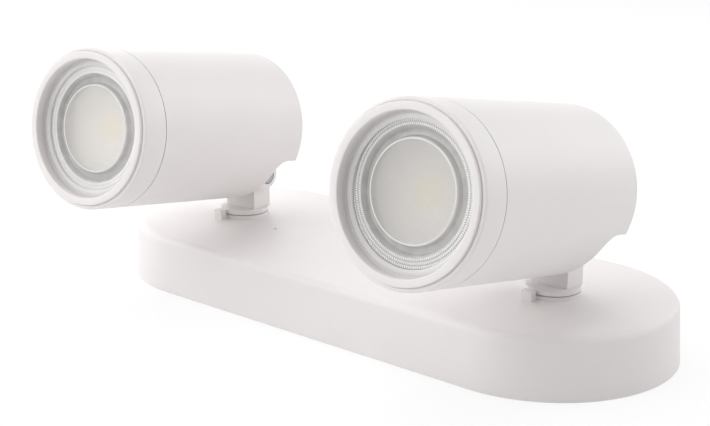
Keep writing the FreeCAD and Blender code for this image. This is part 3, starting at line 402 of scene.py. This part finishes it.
def board_finish(name, side, colours, chip_radius):
    """White solder mask round a warm phosphor disc, with ring traces, a soft edge and a faint painted glow, though
    the light source is off.
    """
    finish = Finish(name, specular=0.35, emission_strength=colours["glow"])
    centre = PLACE[side].origin
    away = finish.node("ShaderNodeVectorMath", {"operation": "SUBTRACT"},
                       {0: finish.place(), 1: tuple(centre)})
    across = finish.node("ShaderNodeVectorMath", {"operation": "CROSS_PRODUCT"},
                         {0: away, 1: tuple(PLACE[side].axes[2])})
    radius = finish.node("ShaderNodeVectorMath", {"operation": "LENGTH"}, {0: across},
                         output="Value") / MM
    warm = 1.0 - radius.step(chip_radius * 0.55, chip_radius * 1.25)
    trace = ((radius * 3.6).sine().size()).step(0.88, 0.97)
    mask = finish.blend(trace, rgba(colours["mask"]), shade(colours["mask"], 0.86))
    colour = finish.blend(warm, mask, rgba(colours["phosphor"]))
    finish.set(base_color=colour, emission=colour,
               roughness=0.35 + 0.2 * finish.noise(900.0, 2.0),
               normal=finish.bump(trace + finish.noise(2200.0, 1.0), 0.00003, 0.5))
    return finish.material


def lens_finish(name, colours, sizes):
    """Clear moulding with a frosted disc.

    The radius from the lens's middle parts it into disc, bead, sloping wall and dotted flange. The
    disc has a fine slanted waffle, the product of two sine waves at right angles. The sloping wall
    is painted grey as shade, and the valleys between the dots are painted darker as shade.
    """
    finish = Finish(name, specular=0.6, ior=1.49)
    local = finish.attribute(LOCAL, "Vector")
    across, up, _ = (finish.node("ShaderNodeSeparateXYZ", values={0: local}, output=axis)
                     for axis in range(3))
    up = up - sizes["lift"]
    radius = (across * across + up * up) ** 0.5
    wave = 2 * math.pi / sizes["waffle"]
    turn = math.radians(WAFFLE_TURN)
    along = (across * math.cos(turn) + up * math.sin(turn)) * wave
    athwart = (up * math.cos(turn) - across * math.sin(turn)) * wave
    waffle = along.sine() * athwart.sine()
    disc = 1.0 - radius.step(sizes["disc"] - 0.7, sizes["disc"] - 0.4)
    bead = radius.step(sizes["disc"] - 0.6, sizes["disc"] - 0.3) \
        * (1.0 - radius.step(sizes["disc"] + 0.1, sizes["disc"] + 0.5))
    flange = radius.step(sizes["wall"] - 0.1, sizes["wall"] + 0.3)
    dots = finish.attribute(MASK, "Fac")
    cloud = finish.noise(240.0, 3.0)
    wall_painted_shade = finish.blend(cloud.step(0.3, 0.7), shade(colours["wall"], 0.9),
                               shade(colours["wall"], 1.06))
    disc_colour = finish.blend(waffle * 0.5 + 0.5, shade(colours["disc"], 0.93),
                               rgba(colours["disc"]))
    # the valleys between the dots are painted darker than the dot tops, as shade
    dot_colour = finish.blend(dots.step(0.15, 0.75), rgba(colours["valley"]),
                              rgba(colours["dot"]))
    colour = finish.blend(disc, wall_painted_shade, disc_colour)
    colour = finish.blend(bead, colour, shade(colours["dot"], 0.9))
    colour = finish.blend(flange, colour, dot_colour)
    solid = disc * sizes["disc_cover"] + flange * sizes["flange_cover"] \
        + (1.0 - disc) * (1.0 - flange) * sizes["wall_cover"]
    finish.set(base_color=colour,
               alpha=solid + bead * (1.0 - sizes["wall_cover"]) * 0.8,
               roughness=0.10 + 0.34 * disc + 0.06 * cloud,
               normal=finish.bump(disc * waffle, sizes["waffle_depth"] * MM, 0.6))
    return finish.material


# ---------------------------------------------------------------- settings

class PaintSettings(bpy.types.PropertyGroup):
    """Colours of the finishes, as linear values."""
    paint: FloatVectorProperty(
        name="Powder coat", description="Colour of the cover, stems, heads and front rings",
        subtype="COLOR", size=3, min=0, max=1, default=(0.83, 0.80, 0.795))
    trim: FloatVectorProperty(
        name="Retaining ring", description="Colour of the ring that holds each lamp",
        subtype="COLOR", size=3, min=0, max=1, default=(0.80, 0.785, 0.775))
    steel: FloatVectorProperty(
        name="Zinc plate", description="Colour of plated steel pieces",
        subtype="COLOR", size=3, min=0, max=1, default=(0.56, 0.57, 0.58))
    screw: FloatVectorProperty(
        name="Tilt screws", description="Colour of the tilt screws and nuts",
        subtype="COLOR", size=3, min=0, max=1, default=(0.42, 0.42, 0.43))
    nylon: FloatVectorProperty(
        name="Nylon washers", description="Colour of the washers in the pivots",
        subtype="COLOR", size=3, min=0, max=1, default=(0.32, 0.31, 0.31))
    rubber: FloatVectorProperty(
        name="Rubber", description="Colour of the grommet and the lead bushes",
        subtype="COLOR", size=3, min=0, max=1, default=(0.02, 0.02, 0.02))


class RingSettings(bpy.types.PropertyGroup):
    """Rounding of the front rings, in millimetres."""
    lip: FloatProperty(name="Lip rounding", description="Rounding of the mouth's edge",
                       default=0.45, min=0.05, max=0.8)
    rim: FloatProperty(name="Rim rounding", description="Rounding of the raised rim's outer edge",
                       default=0.35, min=0.05, max=0.5)
    shoulder: FloatProperty(name="Shoulder rounding", description="Rounding behind the rim",
                            default=0.8, min=0.1, max=1.2)
    # painted shade: the bore of each front ring is painted darker by this factor
    bore_painted_shade: FloatProperty(
        name="Painted bore shade", description="Brightness of the painted shade in the bore",
        default=0.80, min=0.2, max=1.0)
    segments: IntProperty(name="Segments", description="Divisions round each ring",
                          default=256, min=48, max=512)


class LensSettings(bpy.types.PropertyGroup):
    """The lenses: moulded dots, frosted disc and the light source behind it."""
    dots_round: IntProperty(name="Dots round", description="Moulded dots in each row",
                            default=180, min=24, max=240)
    lift: FloatVectorProperty(
        name="Lamp lift", description="Height of each lens above its head's axis, in millimetres",
        size=2, default=(0.0, 0.85))
    narrow: FloatVectorProperty(
        name="Disc inset", description="How much smaller each disc's radius is, in millimetres",
        size=2, min=0, max=2, default=(0.6, 0.2))
    # painted shade: the two lamps are alike, but each disc and the space between each lens's dots are painted
    # darker or lighter per side
    disc_painted_shade: FloatVectorProperty(
        name="Painted disc shade", description="Painted shade of each frosted disc",
        size=2, min=0, max=1, default=(1.0, 0.86))
    between_dots_painted_shade: FloatVectorProperty(
        name="Painted shade between dots", description="Painted shade between the dots of each lens",
        size=2, min=0, max=1, default=(0.86, 0.55))
    dot_rows: IntProperty(name="Dot rows", description="Rows of dots on the flange",
                          default=3, min=1, max=6)
    dot_height: FloatProperty(name="Dot height", description="Height of a dot in millimetres",
                              default=0.16, min=0.0, max=0.6)
    waffle: FloatProperty(name="Frost pitch", description="Pitch of the waffle in millimetres",
                          default=1.1, min=0.3, max=3.0)
    chip: FloatProperty(
        name="Light source", description="Radius of the phosphor disc in millimetres",
        default=6.5, min=2.0, max=12.0)
    phosphor: FloatVectorProperty(
        name="Phosphor", description="Colour of the unlit light source",
        subtype="COLOR", size=3, min=0, max=1, default=(0.90, 0.80, 0.50))


class StageSettings(bpy.types.PropertyGroup):
    """Camera and lamps of the studio."""
    lens: FloatProperty(name="Lens", description="Focal length of the camera", unit="CAMERA",
                        default=73.25, min=20, max=200)
    power: FloatProperty(name="Lamps", description="Share of every studio lamp's power",
                         default=1.0, min=0, max=4)
    distance: FloatProperty(name="Lamp distance", description="From the light to each lamp",
                            unit="LENGTH", default=1.3, min=0.5, max=5)
    size: FloatProperty(name="Lamp size", description="Side of each square lamp",
                        unit="LENGTH", default=0.8, min=0.1, max=3)
    ambient: FloatProperty(name="Ambient", description="Strength of the white surroundings",
                           default=0.36, min=0, max=2)


# ---------------------------------------------------------------- making

def slot_finish(settings, slot):
    """The finish for one of the record's material slots, made when it is first asked for."""
    paint = settings.paint
    makers = {                              # maker, colour, roughness, lumps to the metre
        "white_paint": (painted_finish, paint.paint),
        "zinc_steel": (plated_finish, paint.steel, 0.28),
        "black_screw": (plated_finish, paint.screw, 0.34),
        "dark_nylon": (moulded_finish, paint.nylon, 0.50),
        "black_rubber": (moulded_finish, paint.rubber, 0.62, 1500.0),
        "ivory_plastic": (moulded_finish, (0.72, 0.68, 0.55), 0.42),
        "brass": (plated_finish, (0.72, 0.50, 0.20), 0.24),
        "lead_sheath": (sheath_finish, (0.76, 0.76, 0.74)),
        "pale_ceramic": (ceramic_finish, (0.78, 0.75, 0.68)),
        "lamp_shell": (moulded_finish, (0.62, 0.62, 0.61), 0.34, 600.0),
        "nickel": (plated_finish, (0.66, 0.63, 0.58), 0.16),
        "retainer_white": (moulded_finish, paint.trim, 0.30, 1200.0),
    }
    name = f"made_{slot}"
    maker, *values = makers[slot]
    return bpy.data.materials.get(name) or maker(name, *values)


class SPOTBAR_OT_finishes(bpy.types.Operator):
    """Give every CAD node its finish"""
    bl_idname = "spotbar.finishes"
    bl_label = "Finishes"

    def execute(self, context):
        settings = context.scene.spotbar
        slots = {item["node"]: item["material_slot"] for item in frame["record"]["subparts"]}
        for name, node in frame["nodes"].items():
            slot = slots[name]
            if slot in ("led_board", "lamp_lens"):
                continue
            for holder in node.material_slots:
                holder.material = slot_finish(settings, slot)
        return {"FINISHED"}


class SPOTBAR_OT_boards(bpy.types.Operator):
    """Finish the boards behind the lenses"""
    bl_idname = "spotbar.boards"
    bl_label = "Light sources"

    def execute(self, context):
        lens = context.scene.spotbar.lens
        # the glow is painted light: the light sources are off, yet the boards glow faintly
        colours = {"mask": (0.84, 0.83, 0.82), "phosphor": lens.phosphor, "glow": 0.30}
        for side in SIDES:
            finish = board_finish(f"{side}_board_finish", side, colours, lens.chip)
            for holder in frame["nodes"][f"{side}_led_board"].material_slots:
                holder.material = finish
        return {"FINISHED"}


class SPOTBAR_OT_front_rings(bpy.types.Operator):
    """Make the screwed front rings with their rounded lips"""
    bl_idname = "spotbar.front_rings"
    bl_label = "Front rings"

    def execute(self, context):
        ring = context.scene.spotbar.ring
        # the bore of each ring is painted darker as shade
        finish = painted_finish("front_ring_coat_and_painted_shade", context.scene.spotbar.paint.paint,
                                ring.bore_painted_shade)
        for side in SIDES:
            _, outer, back, front = span(side, "front_ring")
            *_, seat = span(side, "lamp_retainer")
            mouth, rim, groove_side = outer - 4.5, outer - 1.7, outer - 1.4
            shoulder, groove = front - 1.1, front - 1.4
            skirt, land, neck = outer - 2.0, outer - 4.2, outer - 5.6
            skirt_end, bore, lip = back + 6.2, outer - 4.6, front - 3.9
            profile = soft_profile([
                (mouth, front, ring.lip), (rim, front, ring.rim),
                (rim, groove, CREASE), (groove_side, groove, CREASE),
                (groove_side, shoulder, 1.5 * CREASE), (outer, shoulder, ring.shoulder),
                (outer, back, SEAM), (skirt, back, SEAM), (skirt, skirt_end, 0),
                (land, skirt_end, 0), (land, seat, 0), (neck, seat, 0.05),
                (neck, lip, SEAM), (bore, lip, 0.25)])
            points = spun(profile, ring.segments)
            # the mask marks the bore, which is painted darker as shade
            inside = (profile[:, 0] < mouth + 0.05) & (profile[:, 1] < front - BORE_SHADE_DEPTH)
            mask = np.broadcast_to(inside[:, None].astype(float), points.shape[:2])
            piece = make_piece(f"{side}_ring_turned", side, points, True, finish,
                               f"{side}_ring", mask)
            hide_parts(f"{side}_front_ring")
        return {"FINISHED"}


class SPOTBAR_OT_retainers(bpy.types.Operator):
    """Make the pale rings that bear on the lamps"""
    bl_idname = "spotbar.retainers"
    bl_label = "Retaining rings"

    def execute(self, context):
        finish = slot_finish(context.scene.spotbar, "retainer_white")
        for side in SIDES:
            inner, outer, back, face = span(side, "lamp_retainer")
            profile = soft_profile([
                (inner, back, 0.1), (outer, back, 0.1), (outer, face, 0.1),
                (inner + 0.75, face, 0.2), (inner + 0.45, face - 0.25, 0.1),
                (inner, face - 0.55, SEAM)])
            piece = make_piece(f"{side}_retainer_turned", side, spun(profile, 192), True, finish,
                               f"{side}_retainer")
            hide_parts(f"{side}_lamp_retainer")
        return {"FINISHED"}


def dot_heights(rings, dots_round):
    """Height of the moulded dots, 0 to 1, over a grid of rings by steps round the lens.

    A dot is (1 - 4 d^2)^0.6, where d is the distance from its middle and the rows are 1 apart.
    Every other row is turned by half a dot, and the last ring is flat.
    """
    across = np.arange(rings) / ROW_STEPS
    row = np.floor(across)
    angle = np.arange(DOT_STEPS * dots_round) / DOT_STEPS
    from_row = (across - row - 0.5)[:, None]
    from_dot = (angle[None] + 0.5 * (row % 2)[:, None]) % 1.0 - 0.5
    height = np.clip(1 - 4 * (from_row ** 2 + from_dot ** 2), 0, 1) ** 0.6
    height[-1] = 0
    return height


class SPOTBAR_OT_lenses(bpy.types.Operator):
    """Mould the lenses: dotted flange, sloping wall, bead and frosted disc"""
    bl_idname = "spotbar.lenses"
    bl_label = "Lenses"

    def execute(self, context):
        lens = context.scene.spotbar.lens
        for index, side in enumerate(SIDES):
            _, edge, back, face = span(side, "lamp_lens")
            disc, wall = edge - 6.65 - lens.narrow[index], edge - 2.95
            top_place, flange_place, trough = face - 0.2, face - 0.3, face - 2.1
            dot = (0.92, 0.91, 0.90)
            # the sloping wall's grey colour is painted shade
            colours = {"wall": (0.63, 0.62, 0.61), "dot": dot,
                       # each disc and each lens's valleys between dots get their own painted shade
                       "disc": shade((0.93, 0.90, 0.87), lens.disc_painted_shade[index]),
                       "valley": shade(dot, lens.between_dots_painted_shade[index])}
            sizes = {"disc": disc, "wall": wall, "lift": lens.lift[index],
                     "waffle": lens.waffle, "waffle_depth": 0.12,
                     "disc_cover": 0.5, "wall_cover": 0.7, "flange_cover": 0.92}
            finish = lens_finish(f"{side}_lens_finish", colours, sizes)
            rim = edge + 1.0
            flange_radius = np.linspace(wall, rim - 0.1, ROW_STEPS * lens.dot_rows + 1)
            top = soft_profile([
                (0, top_place, 0), (disc - 0.85, top_place, 0), (disc - 0.6, face, 0.1),
                (disc, face, 0.12), (disc + 0.2, top_place, 0.1), (disc + 0.9, trough, 0.4),
                (wall - 1.2, trough, 0.4), (wall - 0.1, flange_place - 0.1, 0)], 3)
            flange = np.stack([flange_radius, np.full_like(flange_radius, flange_place)], axis=1)
            under = np.array([(rim, face - 0.6), (rim, face - 1.6), (wall + 1.0, face - 1.6),
                              (wall - 0.6, back), (0, back)])
            profile = np.concatenate([top, flange, under])
            points = spun(profile, DOT_STEPS * lens.dots_round)
            dots = slice(len(top), len(top) + len(flange))
            height = dot_heights(len(flange), lens.dots_round)
            points[dots, :, 2] += lens.dot_height * (height - DOT_SINK)
            points[..., 1] += lens.lift[index]
            mask = np.zeros(points.shape[:2])
            mask[dots] = height
            piece = make_piece(f"{side}_lens_moulding", side, points, False, finish,
                               f"{side}_lamp", mask, sharp=70.0)
            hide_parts(f"{side}_lamp_lens")
        return {"FINISHED"}


class SPOTBAR_OT_stage(bpy.types.Operator):
    """Set up the floor, the surroundings, the lamps and the camera"""
    bl_idname = "spotbar.stage"
    bl_label = "Studio"

    def execute(self, context):
        stage = context.scene.spotbar.stage
        make_floor()
        make_world(stage.ambient)
        for name, turn, rise, power in LAMPS:
            make_lamp(name, turn, rise, stage.distance, stage.size, power * stage.power)
        make_camera(stage.lens)
        context.scene.view_settings.view_transform = "Standard"
        return {"FINISHED"}


def make_floor():
    """A pale sheet behind the light. Seen directly it is lifted to white and keeps its shadow."""
    corners = [(x * FLOOR_HALF, y * FLOOR_HALF, -FLOOR_GAP)
               for x, y in ((-1, -1), (1, -1), (1, 1), (-1, 1))]
    mesh = bpy.data.meshes.new("floor")
    mesh.from_pydata(corners, [], [(0, 1, 2, 3)])
    finish = Finish("pale_floor", roughness=0.9, specular=0.1)
    tint = finish.noise(3.0, 2.0)
    finish.set(base_color=finish.blend(tint, (0.86, 0.86, 0.86, 1), (0.88, 0.88, 0.88, 1)))
    lift_when_seen(finish, FLOOR_WHITE, FLOOR_GLOW)
    mesh.materials.append(finish.material)
    floor = bpy.data.objects.new("floor", mesh)
    bpy.context.scene.collection.objects.link(floor)


def lift_when_seen(finish, share, strength):
    """Mix plain white light into what is seen directly."""
    glow = finish.node("ShaderNodeEmission", values={"Color": WHITE, "Strength": strength})
    own = Wire(finish, finish.shader.outputs[0])
    mixed = finish.node("ShaderNodeMixShader",
                        values={0: finish.seen_directly() * share, 1: own, 2: glow})
    finish.feed(finish.output.inputs["Surface"], mixed)


def make_world(ambient):
    """White surroundings: plain white where seen, softer where they light the object."""
    world = bpy.data.worlds.new("studio_world")
    nodes = Nodes(world)
    strength = ambient + nodes.seen_directly() * (1.0 - ambient)
    glow = nodes.node("ShaderNodeBackground", values={"Color": WHITE, "Strength": strength})
    output = nodes.tree.nodes.new("ShaderNodeOutputWorld")
    nodes.feed(output.inputs["Surface"], glow)
    bpy.context.scene.world = world


def make_lamp(name, turn, rise, distance, size, power):
    """A square soft lamp that faces the light, placed by its two angles in degrees."""
    turn, rise = math.radians(turn), math.radians(rise)
    away = Vector((math.cos(rise) * math.cos(turn), math.cos(rise) * math.sin(turn),
                   math.sin(rise)))
    lamp = bpy.data.lights.new(name, "AREA")
    lamp.energy = power
    lamp.size = size
    holder = bpy.data.objects.new(name, lamp)
    holder.location = Vector(AIM) + away * distance
    holder.rotation_euler = (-away).to_track_quat("-Z", "Y").to_euler()
    bpy.context.scene.collection.objects.link(holder)


def make_camera(lens):
    """The photograph's viewpoint, from the fit of the outlines."""
    camera = bpy.data.cameras.new("camera")
    camera.lens = lens
    camera.sensor_width = SENSOR_WIDTH
    camera.clip_start = NEAREST
    holder = bpy.data.objects.new("camera", camera)
    holder.location = CAMERA_PLACE
    holder.rotation_euler = (math.radians(90 - CAMERA_DOWN), 0, math.radians(CAMERA_TURN))
    bpy.context.scene.collection.objects.link(holder)
    bpy.context.scene.camera = holder


# ---------------------------------------------------------------- add-on

class SpotBarSettings(bpy.types.PropertyGroup):
    """All settings of the light."""
    paint: PointerProperty(type=PaintSettings)
    ring: PointerProperty(type=RingSettings)
    lens: PointerProperty(type=LensSettings)
    stage: PointerProperty(type=StageSettings)


STEPS = (SPOTBAR_OT_finishes, SPOTBAR_OT_boards, SPOTBAR_OT_front_rings, SPOTBAR_OT_retainers,
         SPOTBAR_OT_lenses, SPOTBAR_OT_stage)


class SPOTBAR_PT_panel(bpy.types.Panel):
    """Sidebar panel that lists the steps and their settings"""
    bl_idname = "SPOTBAR_PT_panel"
    bl_label = "Wall Spotlight Bar"
    bl_space_type = "VIEW_3D"
    bl_region_type = "UI"
    bl_category = "Spotlight"

    def draw(self, context):
        settings = context.scene.spotbar
        for step in STEPS:
            self.layout.operator(step.bl_idname)
        for group in (settings.paint, settings.ring, settings.lens, settings.stage):
            box = self.layout.box()
            for key in group.__annotations__:
                box.prop(group, key)


CLASSES = (PaintSettings, RingSettings, LensSettings, StageSettings, SpotBarSettings,
           *STEPS, SPOTBAR_PT_panel)


def register():
    """Add the classes and the settings."""
    for item in CLASSES:
        bpy.utils.register_class(item)
    bpy.types.Scene.spotbar = PointerProperty(type=SpotBarSettings)


def unregister():
    """Take them out again."""
    del bpy.types.Scene.spotbar
    for item in reversed(CLASSES):
        bpy.utils.unregister_class(item)


def main():
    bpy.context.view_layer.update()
    register()
    for step in STEPS:
        family, name = step.bl_idname.split(".")
        getattr(getattr(bpy.ops, family), name)()


if __name__ == "__main__":
    main()
